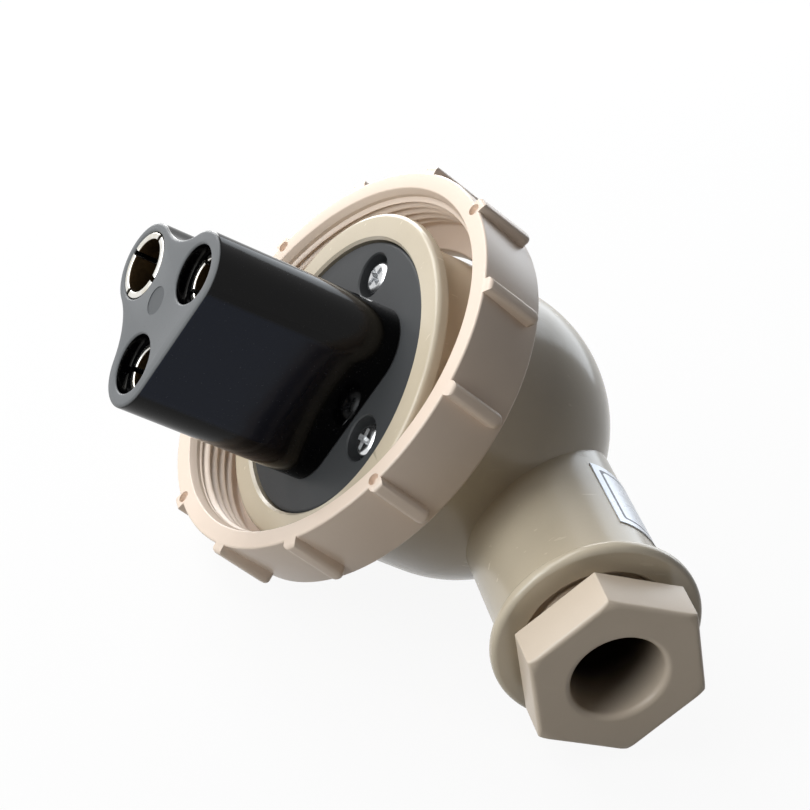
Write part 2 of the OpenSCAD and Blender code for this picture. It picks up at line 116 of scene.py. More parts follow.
# Coupling ring
ring_len, ring_gap, thread_h, entry_len, thread_len = 11.7, 2.1, 0.7, 1.7, 6.6
ring_wall, ring_bevel, ring_draft, lip_t, lip_gap = 3.2, 0.4, 0.5, 2.2, 1.1
lead_w, lead_len = 0.5, 1.1
rib_count, rib_w, rib_h, rib_stop, rib_round = 12, 2.3, 1.3, 1.5, 0.75
pit_count, pit_r, pit_depth, pit_inset = 4, 0.9, 1.0, 0.6
ring_tilt, ring_swing, ring_slip, hook_gap, lip_side_share = 11.0, 1.4, 0.6, 0.6, 0.4
thread_pitch = 1.5
thread_r = rim_r + ring_gap
mouth_r = thread_r + thread_h
ring_r = mouth_r + ring_wall
ring_lip_r = bulb_r + lip_gap
lip_reach = 0.15
lip_edge_r = ring_lip_r - lip_reach
lip_front = ring_len - lip_t

# Gland nut
nut_flats, nut_h, cable_r, nut_gap, nut_thread_len, nut_turn = 24.0, 6.8, 6.65, 2.3, 8.0, 12.5
nut_corner_r, nut_round, nut_edge, nut_back_edge, nut_corner_round = 12.9, 1.0, 0.7, 0.3, 0.3
running_gap, nut_thread_h, nut_nose_cut, nut_nose_in = 0.08, 0.6, 0.7, 0.2
nut_corner_slope = math.radians(30)
nut_front = neck_reach + nut_gap + nut_h
nut_back = nut_front - nut_h
nut_nose = neck_reach - nut_thread_len

# Label
label_len, label_arc, label_start, label_gap, label_t = 14.0, 88.0, 84.0, 8.0, 0.15

# Resting angles
nose_lift, neck_drop = 19.5, 5.6


def moved(x, y, z):
    return Matrix.Translation((x, y, z))


def turned(axis, degrees):
    return Matrix.Rotation(math.radians(degrees), 4, axis)


LIE = turned("X", -neck_drop) @ turned("Y", -nose_lift)
ALONG_X = turned("Y", 90)
ALONG_NECK = moved(-neck_back, 0, 0) @ turned("X", -90)


def ring_place():
    """The loose ring hangs with its lip hooked behind the rim, under the round body."""
    tilt = math.radians(ring_tilt)
    x = -rim_t - hook_gap + lip_front * math.cos(tilt) - ring_lip_r * math.sin(tilt)
    z = (-bulb_r - lip_gap * lip_side_share
         + lip_front * math.sin(tilt) + ring_lip_r * math.cos(tilt))
    return moved(x, -ring_slip, z) @ turned("Z", -ring_swing) @ turned("Y", -ring_tilt) @ ALONG_X


def spot(radius, angle):
    """A point on the insert, seen from its tip's side, at an angle from the neck's direction."""
    return cmath.rect(radius, math.radians(angle + 90))


# Drawing


def rounded(corners, steps=EDGE_STEPS):
    """A closed outline of complex points. Each corner (x, y, radius) becomes an arc."""
    outline = []
    for i, (x, y, radius) in enumerate(corners):
        here = complex(x, y)
        if radius == 0:
            outline.append(here)
            continue
        before = complex(*corners[i - 1][:2]) - here
        after = complex(*corners[(i + 1) % len(corners)][:2]) - here
        before, after = before / abs(before), after / abs(after)
        half = abs(cmath.phase(after / before)) / 2
        middle = here + (before + after) / abs(before + after) * radius / math.sin(half)
        start = here + before * radius / math.tan(half) - middle
        end = here + after * radius / math.tan(half) - middle
        turn = cmath.phase(end / start)
        outline += [middle + start * cmath.exp(1j * turn * k / steps) for k in range(steps + 1)]
    return outline


def arc(middle, radius, start, end, steps):
    """Points along an arc, angles in degrees."""
    angles = [math.radians(start + (end - start) * k / steps) for k in range(steps + 1)]
    return [middle + cmath.rect(radius, angle) for angle in angles]


def drawn(name, points, faces, place=Matrix()):
    mesh = bpy.data.meshes.new(name)
    mesh.from_pydata([tuple(p) for p in points], [], faces)
    mesh.transform(place)
    shape = bmesh.new()
    shape.from_mesh(mesh)
    bmesh.ops.recalc_face_normals(shape, faces=shape.faces)
    shape.to_mesh(mesh)
    shape.free()
    piece = bpy.data.objects.new(name, mesh)
    bpy.context.scene.collection.objects.link(piece)
    return piece


def turned_shape(name, outline, place=Matrix(), steps=ROUND_STEPS):
    """A closed outline of radius and height turned about Z. It may be a function of the angle,
    and the steps may be a list of angles."""
    at = outline if callable(outline) else lambda angle: outline
    angles = steps if isinstance(steps, list) else [2 * math.pi * k / steps for k in range(steps)]
    steps = len(angles)
    profiles = [at(a) for a in angles]
    points, first = [], []
    for j in range(len(profiles[0])):
        first.append(len(points))
        if abs(profiles[0][j].real) < ON_AXIS:
            points.append((0, 0, profiles[0][j].imag))
        else:
            points += [(p[j].real * math.cos(a), p[j].real * math.sin(a), p[j].imag)
                       for a, p in zip(angles, profiles)]
    sizes = [b - a for a, b in zip(first, first[1:] + [len(points)])]
    faces = []
    for j in range(len(first)):
        n = (j + 1) % len(first)
        for k in range(steps):
            after = (k + 1) % steps
            low = [first[j]] if sizes[j] == 1 else [first[j] + k, first[j] + after]
            high = [first[n]] if sizes[n] == 1 else [first[n] + after, first[n] + k]
            if len(low) + len(high) > 2:
                faces.append(low + high)
    return drawn(name, points, faces, place)


def inset(outline, distance):
    """The outline moved inwards along its own normals."""
    moved_points = []
    for i, point in enumerate(outline):
        before = point - outline[i - 1]
        after = outline[(i + 1) % len(outline)] - point
        before, after = before / abs(before), after / abs(after)
        normal = 1j * (before + after) / abs(before + after)
        stretch = (normal * (1j * before).conjugate()).real
        moved_points.append(point + normal * distance / stretch)
    return moved_points


def raised_shape(name, outline, levels, place=Matrix()):
    """An outline carried up through levels of (height, inset), closed at both ends."""
    count = len(outline)
    points = []
    for height, distance in levels:
        here = inset(outline, distance) if distance else outline
        points += [(p.real, p.imag, height) for p in here]
    faces = [list(range(count)), list(range(len(points) - count, len(points)))]
    for level in range(len(levels) - 1):
        for i in range(count):
            low, after = level * count + i, level * count + (i + 1) % count
            faces.append([low, after, after + count, low + count])
    return drawn(name, points, faces, place)


def rounded_top(height, radius):
    """Levels that round the top edge of a raised shape."""
    angles = [math.pi / 2 * k / EDGE_STEPS for k in range(EDGE_STEPS + 1)]
    return [(height - radius * (1 - math.sin(a)), radius * (1 - math.cos(a))) for a in angles]


def plain(piece):
    """Works the piece's modifiers into its mesh."""
    bpy.context.view_layer.update()
    graph = bpy.context.evaluated_depsgraph_get()
    mesh = bpy.data.meshes.new_from_object(piece.evaluated_get(graph))
    piece.modifiers.clear()
    piece.data = mesh
    mesh.name = piece.name


def combined(piece, operation, tools):
    """Joins the piece with the tools, or cuts it by them, and uses the tools up."""
    for tool in tools:
        step = piece.modifiers.new(tool.name, "BOOLEAN")
        step.operation, step.object, step.solver = operation, tool, "EXACT"
    plain(piece)
    for tool in tools:
        bpy.data.objects.remove(tool)


def keep_numbers(piece, name, numbers):
    """Keeps a number for each point of the mesh, for the piece's material to read."""
    piece.data.attributes.new(name, "FLOAT", "POINT").data.foreach_set("value", numbers)


def finish_piece(piece, place, slot, body, nodes):
    """Sets the piece in its place, smooth but for its sharp edges, with its material and body."""
    mesh = piece.data
    mesh.transform(Matrix.Scale(MM, 4) @ LIE @ place)
    mesh.shade_smooth()
    mesh.set_sharp_from_angle(angle=math.radians(SHARP_ANGLE))
    mesh.materials.clear()
    mesh.materials.append(FINISHES[slot])
    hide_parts(*nodes)
    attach(piece, body)


# Node sheets


class Wire:
    """A socket that works in arithmetic: each operator adds a Math node to its sheet."""

    def __init__(self, sheet, socket):
        self.sheet, self.socket = sheet, socket

    def maths(self, operation, *values):
        inputs = dict(enumerate(values))
        return self.sheet.node("ShaderNodeMath", {"operation": operation}, inputs)

    def __add__(self, other):
        return self.maths("ADD", self, other)

    def __sub__(self, other):
        return self.maths("SUBTRACT", self, other)

    def __rsub__(self, other):
        return self.maths("SUBTRACT", other, self)

    def __mul__(self, other):
        return self.maths("MULTIPLY", self, other)

    def __truediv__(self, other):
        return self.maths("DIVIDE", self, other)

    def __rtruediv__(self, other):
        return self.maths("DIVIDE", other, self)

    __radd__, __rmul__ = __add__, __mul__

    def above(self, edge, width):
        """0 below the edge and 1 above it, with a soft step of that width."""
        settings = {"interpolation_type": "SMOOTHSTEP"}
        inputs = {0: self, 1: edge - width / 2, 2: edge + width / 2}
        return self.sheet.node("ShaderNodeMapRange", settings, inputs)


class Sheet:
    """A node tree, whose nodes all come from the node method."""

    def __init__(self, tree):
        self.tree = tree

    def node(self, kind, settings=(), inputs=(), output=0):
        made = self.tree.nodes.new(kind)
        for name, value in dict(settings).items():
            setattr(made, name, value)
        for socket, value in dict(inputs).items():
            self.feed(made.inputs[socket], value)
        return Wire(self, made.outputs[output])

    def feed(self, socket, value):
        if isinstance(value, Wire):
            self.tree.links.new(value.socket, socket)
        else:
            socket.default_value = value


class Finish(Sheet):
    """One material: a Principled sheet, with its constants set on it."""

    def __init__(self, name, **constants):
        self.material = bpy.data.materials.new(name)
        self.material.use_nodes = True
        super().__init__(self.material.node_tree)
        self.shader = self.tree.nodes["Principled BSDF"]
        for socket, value in constants.items():
            self.set(socket.replace("_", " "), value)
        self.place = self.node("ShaderNodeTexCoord", output="Object")

    def set(self, socket, value):
        self.feed(self.shader.inputs[socket], value)

    def noise(self, size, detail, place=None):
        """Noise whose lumps are about that many millimetres across."""
        inputs = {"Vector": place or self.place, "Scale": 1 / (size * MM), "Detail": detail}
        return self.node("ShaderNodeTexNoise", inputs=inputs)

    def attribute(self, name):
        """A number that the piece's mesh keeps at each point."""
        return self.node("ShaderNodeAttribute", {"attribute_name": name}, output="Fac")

    def vector(self, operation, first, second=(0, 0, 0), output="Value"):
        """Vector arithmetic, with a number as its result unless the output says Vector."""
        settings = {"operation": operation}
        return self.node("ShaderNodeVectorMath", settings, {0: first, 1: second}, output)

    def stretched(self, scale, turn=(0, 0, 0)):
        """The place on the piece, turned in radians and stretched."""
        inputs = {"Vector": self.place, "Rotation": turn, "Scale": scale}
        return self.node("ShaderNodeMapping", inputs=inputs)

    def mix(self, share, first, second, blend="MIX"):
        settings = {"data_type": "RGBA", "blend_type": blend}
        return self.node("ShaderNodeMix", settings, {0: share, 6: first, 7: second}, 2)

    def bump(self, height, depth, below=None):
        """A bump of that depth in millimetres, over the one below it."""
        inputs = {"Height": height, "Distance": depth * MM, "Strength": 1.0}
        if below:
            inputs["Normal"] = below
        return self.node("ShaderNodeBump", inputs=inputs)


# Copies round an axis


def around_tree():
    """Geometry Nodes: one piece copied at even steps round Z, each copy turned about itself."""
    tree = bpy.data.node_groups.new("copies_round_axis", "GeometryNodeTree")
    sockets = {"Piece": "Object", "Count": "Int", "Radius": "Float", "First Angle": "Float",
               "Spin": "Float", "Spin Step": "Float", "Material": "Material"}
    for name, kind in sockets.items():
        tree.interface.new_socket(name, in_out="INPUT", socket_type=f"NodeSocket{kind}")
    tree.interface.new_socket("Copies", in_out="OUTPUT", socket_type="NodeSocketGeometry")

    sheet = Sheet(tree)

    def given(name):
        return sheet.node("NodeGroupInput", output=name)

    index = sheet.node("GeometryNodeInputIndex")
    step = 2 * math.pi / given("Count")
    angle = index * step + given("First Angle")
    x = angle.maths("COSINE", angle) * given("Radius")
    y = angle.maths("SINE", angle) * given("Radius")
    spin = index * given("Spin Step") + given("Spin")
    places = sheet.node("ShaderNodeCombineXYZ", inputs={0: x, 1: y})
    turns = sheet.node("ShaderNodeCombineXYZ", inputs={2: angle + spin})
    points = sheet.node("GeometryNodePoints", inputs={"Count": given("Count"), "Position": places})
    piece = {"Object": given("Piece")}
    piece = sheet.node("GeometryNodeObjectInfo", inputs=piece, output="Geometry")
    each = sheet.node("GeometryNodeInstanceOnPoints", inputs={
        "Points": points, "Instance": piece, "Rotation": turns})
    real = sheet.node("GeometryNodeRealizeInstances", inputs={0: each})
    coated = sheet.node("GeometryNodeSetMaterial", inputs={
        "Geometry": real, "Material": given("Material")})
    sheet.feed(tree.nodes.new("NodeGroupOutput").inputs[0], coated)
    return tree


AROUND = around_tree()


def copies(name, piece, count, radius=0.0, first_angle=0.0, spin=0.0, spin_step=0.0, finish=None):
    """Copies of a piece round Z as one plain mesh, in degrees. The piece itself is used up."""
    holder = bpy.data.objects.new(name, bpy.data.meshes.new(name))
    bpy.context.scene.collection.objects.link(holder)
    step = holder.modifiers.new("copies", "NODES")
    step.node_group = AROUND
    values = {"Piece": piece, "Count": count, "Radius": float(radius), "Material": finish,
              "First Angle": math.radians(first_angle), "Spin": math.radians(spin),
              "Spin Step": math.radians(spin_step)}
    for item in AROUND.interface.items_tree:
        if item.in_out == "INPUT":
            step[item.identifier] = values[item.name]
    plain(holder)
    bpy.data.objects.remove(piece)
    return holder


# Finishes


def colour(red, green, blue):
    """A colour given as it looks on screen, from 0 to 255, for a socket."""
    def linear(value):
        value /= 255
        return value / 12.92 if value <= 0.04045 else ((value + 0.055) / 1.055) ** 2.4
    return (linear(red), linear(green), linear(blue), 1.0)


def moulded_plastic(name, base, deep, gloss):
    """Satin thermoset: faint clouds of colour, a fine skin, a few light scuffs, and painted shade
    that darkens the deep part of a hole."""
    sheet = Finish(name, IOR=1.5)
    clouds = sheet.noise(14, detail=3)
    grain = sheet.noise(0.35, detail=2)
    skin = sheet.noise(1.1, detail=3)
    scuffs = sheet.noise(1.0, detail=2, place=sheet.stretched((0.12, 1.0, 0.5), (0.3, 0.5, 0.9)))
    marks = scuffs.above(0.7, 0.1)
    # painted shade: dark brown that grows with depth in a hole, where shade falls
    painted_hole_shade = (sheet.attribute("depth") * 1.5).above(0.5, 1.0)
    tone = sheet.mix(clouds.above(0.5, 0.5) * 0.55 + grain * 0.25, base, deep)
    tone = sheet.mix(marks * 0.05, tone, base, "SCREEN")
    sheet.set("Base Color", sheet.mix(painted_hole_shade, tone, colour(34, 24, 15)))
    sheet.set("Roughness", gloss + (clouds - 0.5) * 0.14 + (grain - 0.5) * 0.08 + marks * 0.1)
    fine = sheet.bump(grain, 0.006)
    sheet.set("Normal", sheet.bump(skin, 0.012, fine))
    return sheet.material


def polished_black(name):
    """Glossy black moulding with dust and fine rubs. The faces of its tip and its disc are satin,
    with a grey painted sheen, its flat side has a bluish painted reflection towards the tip, and
    the tip has a dull mark in the middle, painted a little darker than the sheen round it."""
    sheet = Finish(name, IOR=1.5, Specular_IOR_Level=0.15)
    tip_middle = LIE @ Vector((insert_reach, 0, 0)) * MM
    from_tip = sheet.vector("SUBTRACT", sheet.place, tip_middle, "Vector")
    away = sheet.vector("LENGTH", from_tip)
    along = sheet.vector("DOT_PRODUCT", from_tip, LIE.to_3x3() @ Vector((1, 0, 0)))
    sideways = sheet.vector("DOT_PRODUCT", from_tip, LIE.to_3x3() @ Vector((0, 1, 0)))
    tip_band, disc_band, flat_band = 0.25, 0.15, 0.07
    flat_middle, flat_fade = 19, 14
    tip = along.above(-tip_band * MM, 0.2 * MM)
    disc = 1 - along.above((disc_band - disc_recess - insert_reach) * MM, 0.1 * MM)
    flat = sideways.above((contact_circle_r / 2 + lobe_r - flat_band) * MM, 0.1 * MM)
    flat = flat * along.above(-flat_middle * MM, flat_fade * MM)
    mark = 1 - away.above(mark_r * MM, 0.3 * MM)
    waves = sheet.noise(5, detail=2)
    rubs = sheet.noise(0.8, detail=3, place=sheet.stretched((0.1, 1.0, 1.0), (0.0, 0.3, 0.1)))
    dust = sheet.noise(0.3, detail=1).above(0.72, 0.06)
    # painted reflection: the flat side turns bluish grey towards the tip, though the plastic is
    # black
    side = sheet.mix(flat, colour(2, 2, 3), colour(24, 31, 47))
    # painted sheen: the tip's face and, at a lower share, the disc's face are grey, not black
    base = sheet.mix(tip + disc * 0.36, side, colour(106, 108, 110))
    # the dull mark is painted a darker grey within that painted sheen
    base = sheet.mix(mark, base, colour(86, 88, 90))
    sheet.set("Base Color", sheet.mix(dust * 0.07, base, colour(110, 110, 114)))
    gloss = 0.05 + waves * 0.07 + rubs * 0.06 + dust * 0.2
    sheet.set("Roughness", gloss + (tip + disc) * 0.28 + mark * 0.1)
    fine = sheet.bump(rubs, 0.002)
    sheet.set("Normal", sheet.bump(waves, 0.03, fine))
    return sheet.material


def metal(name, base, stain, gloss):
    """Turned or stamped metal with fine tool lines and slight staining."""
    sheet = Finish(name, Metallic=1.0)
    stains = sheet.noise(2.2, detail=4)
    lines = sheet.noise(0.25, detail=2, place=sheet.stretched((1.0, 0.15, 0.15)))
    sheet.set("Base Color", sheet.mix(stains.above(0.55, 0.3) * 0.7, base, stain))
    sheet.set("Roughness", gloss + (stains - 0.5) * 0.2 + (lines - 0.5) * 0.12)
    sheet.set("Normal", sheet.bump(lines, 0.004))
    return sheet.material


def plated_brass(name):
    """Silver plating outside, and bare brass inside where pins have rubbed it off, painted dark as
    shade.
    """
    sheet = Finish(name, Metallic=1.0)
    inside = sheet.attribute("inside")
    stains = sheet.noise(2.2, detail=4)
    lines = sheet.noise(0.25, detail=2)
    tarnish = stains.above(0.6, 0.3) * 0.6
    silver = sheet.mix(tarnish, colour(232, 230, 224), colour(206, 196, 170))
    # bare brass, painted dark as the shade inside the tube
    brass = sheet.mix(stains.above(0.5, 0.4), colour(118, 98, 68), colour(76, 62, 44))
    sheet.set("Base Color", sheet.mix(inside, silver, brass))
    sheet.set("Roughness", 0.22 + (stains - 0.5) * 0.16 + (lines - 0.5) * 0.1 + inside * 0.14)
    sheet.set("Normal", sheet.bump(lines, 0.003))
    return sheet.material


def black_rubber(name):
    """Matt rubber with a pale bloom in patches."""
    sheet = Finish(name, IOR=1.45)
    grain = sheet.noise(0.25, detail=3)
    bloom = sheet.noise(4, detail=3).above(0.5, 0.4) * 0.6
    sheet.set("Base Color", sheet.mix(bloom, colour(24, 24, 25), colour(46, 45, 44)))
    sheet.set("Roughness", 0.62 + (grain - 0.5) * 0.2)
    sheet.set("Normal", sheet.bump(grain, 0.02))
    return sheet.material


def label_foil(name):
    """Bare printed foil: bluish white with a dark line near its edge."""
    sheet = Finish(name, IOR=1.5)
    edge = sheet.attribute("edge_distance")
    line_start, line_end, line_soft = 1.1, 1.55, 0.12
    line = edge.above(line_start, line_soft) * (1 - edge.above(line_end, line_soft))
    clouds = sheet.noise(4, detail=1)
    cloudy = clouds.above(0.5, 0.6) * 0.5
    base = sheet.mix(cloudy, colour(222, 227, 236), colour(200, 207, 220))
    sheet.set("Base Color", sheet.mix(line, base, colour(58, 62, 82)))
    sheet.set("Roughness", 0.28 + (clouds - 0.5) * 0.15 + line * 0.15)
    sheet.set("Metallic", 0.25 - line * 0.25)
    sheet.set("Normal", sheet.bump(clouds, 0.02))
    return sheet.material


FINISHES = {
    "housing_plastic": moulded_plastic(
        "housing_khaki", colour(204, 192, 171), colour(193, 180, 157), 0.2),
    "ring_plastic": moulded_plastic(
        "ring_beige", colour(232, 214, 198), colour(224, 205, 188), 0.34),
    "nut_plastic": moulded_plastic(
        "nut_beige", colour(217, 202, 184), colour(208, 192, 173), 0.36),
    "insulator_plastic": polished_black("insert_black"),
    "contact_metal": plated_brass("contact_plating"),
    "spring_steel": metal("spring_bright", colour(205, 205, 205), colour(170, 170, 172), 0.3),
    "screw_steel": metal("screw_zinc", colour(222, 223, 224), colour(180, 182, 184), 0.24),
    "bush_brass": metal("bush_turned", colour(214, 182, 110), colour(178, 140, 78), 0.3),
    "washer_brass": metal("washer_stamped", colour(206, 172, 104), colour(170, 132, 74), 0.36),
    "seal_rubber": black_rubber("seal_black"),
    "label_foil": label_foil("label_bare"),
}
SLOT_OF = {p["node"]: p["material_slot"] for p in frame["record"]["subparts"]}


# Pieces


def half_ball(radius, front):
    """Half outline of a straight wall that ends in a half ball at the back."""
    return arc(complex(0, -bulb_back), radius, -90, 0, BALL_STEPS) + [complex(radius, front)]


def screw_bosses():
    """Bosses on the inside of the round body, bored for the screws and their brass bushes."""
    back, front = -plate_back - boss_len, -plate_back
    side = math.degrees(math.asin(boss_r / boss_reach))
    outline = arc(0j, boss_reach, -side, side, 8)
    outline += arc(complex(screw_circle_r, 0), boss_r, 90, 270, 24)
    boss = raised_shape("boss", outline, [(back, 0), (front, 0)])
    bush_seat = front - bush_len
    bore = [(0, back + cut, 0), (screw_r + hole_gap, back + cut, 0),
            (screw_r + hole_gap, bush_seat, 0), (bush_r + bush_fit, bush_seat, 0),
            (bush_r + bush_fit, front + cut, 0), (0, front + cut, 0)]
    bore = turned_shape("boss_bore", rounded(bore), moved(screw_circle_r, 0, 0), SMALL_STEPS)
    combined(boss, "DIFFERENCE", [bore])
    bosses = copies("screw_bosses", boss, screw_count, first_angle=90)
    bosses.data.transform(ALONG_X)
    return bosses


def housing_shell():
    """Collar, round body, neck, flange and inner bosses: one hollow moulding."""
    root, rim_back_round = 0.4, 0.2
    outline = half_ball(bulb_r, -rim_t - root) + [complex(bulb_r + root, -rim_t)]
    rim = [(bulb_r + root, -rim_t, 0), (rim_r, -rim_t, rim_back_round), (rim_r, 0, rim_round),
           (0, 0, 0)]
    outline += rounded(rim)[1:]
    body = turned_shape("housing_shell", outline, ALONG_X)

    flange_front = neck_reach - flange_t
    neck = [(0, 0, 0), (neck_root_r, 0, 0), (neck_end_r, flange_front, root),
            (flange_r, flange_front, flange_round), (flange_r, neck_reach, flange_round),
            (0, neck_reach, 0)]
    neck_piece = turned_shape("neck", rounded(neck, 7), ALONG_NECK)
    combined(body, "UNION", [neck_piece])

    seat = [complex(0, cut), complex(seat_r + seat_bevel + cut, cut), complex(seat_r, -seat_bevel),
            complex(seat_r, -ledge_back), complex(cavity_r, -ledge_back)]
    cavity = list(reversed(half_ball(cavity_r, -disc_back)))[1:] + seat
    cavity = turned_shape("cavity", cavity, ALONG_X)
    passage_r, ledge_back_y = neck_inside_r - packing_ledge_w, chamber_end - packing_ledge_t
    mouth_bevel, ledge_round, relief_w, relief_depth = 0.3, 0.3, 1.35, 3.0
    relief_r, relief_y = neck_inside_r + relief_w, neck_reach - relief_depth
    inside = [(0, 0, 0), (neck_inside_r, 0, 0), (neck_inside_r, ledge_back_y, 0),
              (passage_r, ledge_back_y, ledge_round), (passage_r, chamber_end, ledge_round),
              (neck_inside_r, chamber_end, ledge_round), (neck_inside_r, relief_y, 0),
              (relief_r, relief_y, 0), (relief_r, neck_reach - mouth_bevel, 0),
              (relief_r + mouth_bevel + cut, neck_reach + cut, 0), (0, neck_reach + cut, 0)]
    bore = turned_shape("bore", rounded(inside), ALONG_NECK)
    combined(body, "DIFFERENCE", [cavity, bore])
    combined(body, "UNION", [screw_bosses()])
    finish_piece(body, Matrix(), "housing_plastic", "plug_body", ["housing"])


def helix(height, angle):
    """A right-hand thread at a height and an angle: 0 in its valley and 1 on its crest."""
    phase, fullness = height / thread_pitch - angle / (2 * math.pi), 0.8
    return (0.5 + 0.5 * math.cos(2 * math.pi * phase)) ** fullness


def thread_ridge(height, angle):
    """How far the ring's thread stands in from its valley, at a height and an angle."""
    fade, start, end = 0.5, -entry_len, -entry_len - thread_len
    share = min(1.0, max(0.0, (start - height) / fade))
    share *= min(1.0, max(0.0, (height - end) / fade))
    return thread_h * helix(height, angle) * share


def ring_outline(angle):
    """The ring's section at an angle: outside, front face, entry, thread, relief and lip."""
    back_round, face_round, lead_round, edge_round, root = 0.5, 0.35, 0.25, 0.3, 0.4
    section = rounded([
        (ring_r - ring_draft, -ring_len, back_round), (ring_r, 0, face_round),
        (mouth_r + lead_w, 0, lead_round), (mouth_r, -lead_len, edge_round),
        (mouth_r, -entry_len, 0), (mouth_r, -entry_len - thread_len, 0),
        (mouth_r, -lip_front, root), (lip_edge_r, -lip_front, edge_round),
        (lip_edge_r, -ring_len, edge_round)])
    start, samples = section.index(complex(mouth_r, -entry_len)), 44
    heights = [-entry_len - thread_len * k / samples for k in range(samples + 1)]
    thread = [complex(mouth_r - thread_ridge(height, angle), height) for height in heights]
    return section[:start] + thread + section[start + 2:]


def grip_rib():
    """One rib along the ring, standing out along local X, with a round rear end. It starts just
    behind the ring's front face."""
    half, behind_face = rib_w / 2, 0.02
    outline = [complex(-behind_face, -half), complex(-behind_face, half)]
    outline += arc(complex(half - ring_len + rib_stop, 0), half, 90, 270, 16)
    levels = [(ring_r - ring_draft - ring_bevel, 0)] + rounded_top(ring_r + rib_h, rib_round)
    outwards = Matrix(((0, 0, 1, 0), (0, 1, 0, 0), (1, 0, 0, 0), (0, 0, 0, 1)))
    return raised_shape("rib", outline, levels, outwards)


def coupling_ring():
    """The threaded ring with its grip ribs, and the pits in its front face."""
    ring = turned_shape("ring_moulding", ring_outline, steps=RING_STEPS)
    ribs = copies("ribs", grip_rib(), rib_count)
    combined(ring, "UNION", [ribs])
    pit_round = 0.3
    pit = [(0, -pit_depth, 0), (pit_r, -pit_depth, pit_round), (pit_r, cut, 0), (0, cut, 0)]
    pit = turned_shape("pit", rounded(pit), steps=SMALL_STEPS)
    pits = copies("pits", pit, pit_count, radius=ring_r - pit_inset)
    combined(ring, "DIFFERENCE", [pits])
    finish_piece(ring, ring_place(), "ring_plastic", "ring_body", ["coupling_ring"])


def barrel_outline():
    """Three rounded lobes, two hollows and one flat side."""
    half = contact_circle_r * math.sin(math.radians(60))
    hollow_r = (half ** 2 + hollow_out ** 2 - lobe_r ** 2) / (2 * (lobe_r - hollow_out))
    away = contact_circle_r * math.cos(math.radians(60)) + hollow_out + hollow_r
    lobes = {a: spot(contact_circle_r, a) for a in (60, 180, -60)}
    hollows = {a: spot(away, a) for a in (120, -120)}

    def heading(a, b):
        return math.degrees(cmath.phase(b - a))

    def lobe(a, start, end):
        return arc(lobes[a], lobe_r, start, start + (end - start) % 360, 32)

    def hollow(a, start, end):
        first, last = heading(hollows[a], start), heading(hollows[a], end)
        return arc(hollows[a], hollow_r, first, first - (first - last) % 360, 16)[1:-1]

    outline = lobe(60, 90, heading(lobes[60], hollows[120]))
    outline += hollow(120, lobes[60], lobes[180])
    turn = heading(lobes[180], hollows[120])
    outline += lobe(180, turn, heading(lobes[180], hollows[-120]))
    outline += hollow(-120, lobes[180], lobes[-60])
    outline += lobe(-60, heading(lobes[-60], hollows[-120]), 90)
    return outline


def contact_hole(pole):
    """The stepped hole that a contact sits in, with a rounded mouth."""
    tube_r, recess_end = PIN_R[pole] + tube_wall, insert_reach - RECESS[pole]
    hole_r, shoulder_r = tube_r + slide_gap, tube_r + shoulder_w + slide_gap
    mouth_hole_r = hole_r + (recess_step if RECESS[pole] else 0)
    lip_r, back, shoulder_end = mouth_hole_r + mouth_round, -disc_back - cut, shoulder_t - disc_back
    outline = [complex(0, back), complex(shoulder_r, back),
               complex(shoulder_r, shoulder_end), complex(hole_r, shoulder_end)]
    if RECESS[pole]:
        outline += [complex(hole_r, recess_end), complex(mouth_hole_r, recess_end)]
    lip = complex(lip_r, insert_reach - mouth_round)
    outline += arc(lip, mouth_round, 180, 90, EDGE_STEPS)
    outline += [complex(lip_r, insert_reach + cut), complex(0, insert_reach + cut)]
    middle = spot(contact_circle_r, POLES[pole])
    return turned_shape("hole", outline, moved(middle.real, middle.imag, 0), HOLE_STEPS)


def contact(pole):
    """A slotted tube with a rounded lip, its shoulder, its rear post and the wire's hole."""
    tube_r, pin_r, front = PIN_R[pole] + tube_wall, PIN_R[pole], insert_reach - RECESS[pole]
    back, pin_end = -plate_back - post_len, front - pin_depth
    wire_end = back + wire_depth
    shoulder_r, shoulder_end = tube_r + shoulder_w, shoulder_t - disc_back
    groove_r, groove_end = tube_r - spring_t, front - spring_back
    groove_back = groove_end - spring_w
    lip, wire_round, shoulder_round = 0.3, 0.2, 0.15
    tube = turned_shape("tube", rounded([
        (wire_r, back, wire_round), (post_r, back, lip), (post_r, -disc_back, 0),
        (shoulder_r, -disc_back, shoulder_round), (shoulder_r, shoulder_end, shoulder_round),
        (tube_r, shoulder_end, 0), (tube_r, groove_back, 0), (groove_r, groove_back, 0),
        (groove_r, groove_end, 0), (tube_r, groove_end, 0), (tube_r, front, lip),
        (pin_r, front, lip), (pin_r, pin_end, lip), (0, pin_end, 0),
        (0, wire_end, 0), (wire_r, wire_end, 0)]), steps=TUBE_STEPS)
    half, reach = slot_w / 2, tube_r + cut
    slot = [complex(0, -half), complex(reach, -half), complex(reach, half), complex(0, half)]
    saw = raised_shape("saw", slot, [(front - slot_len, 0), (front + cut, 0)])
    saws = copies("saws", saw, slot_count, first_angle=90 + slot_turn)
    hole_r = terminal_screw_r + 0.05
    screw_hole = [0j, complex(hole_r, 0), complex(hole_r, post_r + cut), complex(0, post_r + cut)]
    across = moved(0, 0, -plate_back - post_len / 2) @ turned("X", -90)
    screw_hole = turned_shape("screw_hole", screw_hole, across, 48)
    combined(tube, "DIFFERENCE", [saws, screw_hole])
    tube.name = f"{pole}_tube"
    # marks the bore's wall, which the finish paints as bare brass in painted shade
    inside = [float(math.hypot(v.co.x, v.co.y) < pin_r + NEAR and v.co.z > wire_end)
              for v in tube.data.vertices]
    keep_numbers(tube, "inside", inside)
    on_insert = turned("X", POLES[pole]) @ moved(0, contact_circle_r, 0) @ ALONG_X
    finish_piece(tube, on_insert, "contact_metal", "plug_body", [f"{pole}_contact"])


